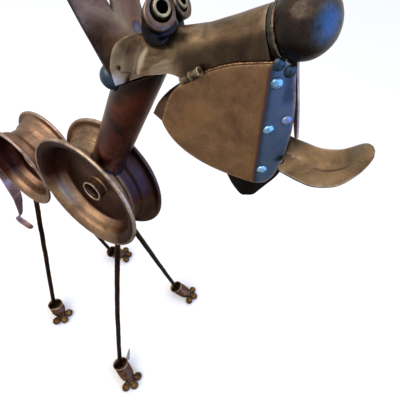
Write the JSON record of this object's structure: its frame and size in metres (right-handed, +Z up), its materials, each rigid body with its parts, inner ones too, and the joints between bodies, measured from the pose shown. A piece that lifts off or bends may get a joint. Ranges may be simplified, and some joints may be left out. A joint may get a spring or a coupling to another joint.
{
  "type": "scrap metal dog sculpture",
  "caption": "Standing dog sculpture welded from wheel rims, pipe, rod and folded sheet steel, with a round nose and a tongue hanging out.",
  "frame": {"origin": "middle of the bounding box on the floor the paws stand on", "axes": "+X the way the dog faces, +Y to its left, +Z up"},
  "size_m": [0.8362, 0.395, 1.0618],
  "materials": {
    "rim_steel": "brown patina with golden tan wear, satin under clear coat",
    "neck_steel": "dark red-brown heat patina, satin",
    "muzzle_steel": "olive-tan patina, rubbed",
    "ear_steel": "purple-brown patina, satin",
    "nape_steel": "blue-grey heat tint",
    "jowl_steel": "warm brown patina",
    "jaw_steel": "black scale",
    "tongue_steel": "tan patina with pale specks",
    "ball_steel": "dark pitted steel",
    "eye_steel": "bronze heat tint",
    "rivet_steel": "blue-grey steel",
    "lug_steel": "dull steel",
    "rod_steel": "dark brown steel",
    "paw_steel": "brown patina",
    "tail_steel": "purple-brown patina"
  },
  "bodies": {
    "root": {"ears": "ear_steel", "eye_band_left": "eye_steel", "eye_band_right": "eye_steel", "eye_stem_left": "eye_steel", "eye_stem_right": "eye_steel", "eye_tube_left": "eye_steel", "eye_tube_right": "eye_steel", "front_rim": "rim_steel", "jowl_left": "jowl_steel", "jowl_right": "jowl_steel", "leg_front_left": "rod_steel", "leg_front_right": "rod_steel", "leg_rear_left": "rod_steel", "leg_rear_right": "rod_steel", "lower_jaw": "jaw_steel", "lug_left": "lug_steel", "lug_right": "lug_steel", "muzzle": "muzzle_steel", "nape_roll": "nape_steel", "neck_pipe": "neck_steel", "nose_ball": "ball_steel", "nose_sleeve": "muzzle_steel", "paw_front_left": "paw_steel", "paw_front_right": "paw_steel", "paw_rear_left": "paw_steel", "paw_rear_right": "paw_steel", "rear_rim": "rim_steel", "rivet_left_1": "rivet_steel", "rivet_left_2": "rivet_steel", "rivet_right_1": "rivet_steel", "rivet_right_2": "rivet_steel", "rivet_right_3": "rivet_steel", "rivet_right_4": "rivet_steel", "rivet_right_5": "rivet_steel", "rivet_right_6": "rivet_steel", "spur": "rod_steel", "tail": "tail_steel", "toe_front_left_1": "paw_steel", "toe_front_left_2": "paw_steel", "toe_front_left_3": "paw_steel", "toe_front_right_1": "paw_steel", "toe_front_right_2": "paw_steel", "toe_front_right_3": "paw_steel", "toe_rear_left_1": "paw_steel", "toe_rear_left_2": "paw_steel", "toe_rear_left_3": "paw_steel", "toe_rear_right_1": "paw_steel", "toe_rear_right_2": "paw_steel", "toe_rear_right_3": "paw_steel", "tongue": "tongue_steel"}
  },
  "joints": []
}
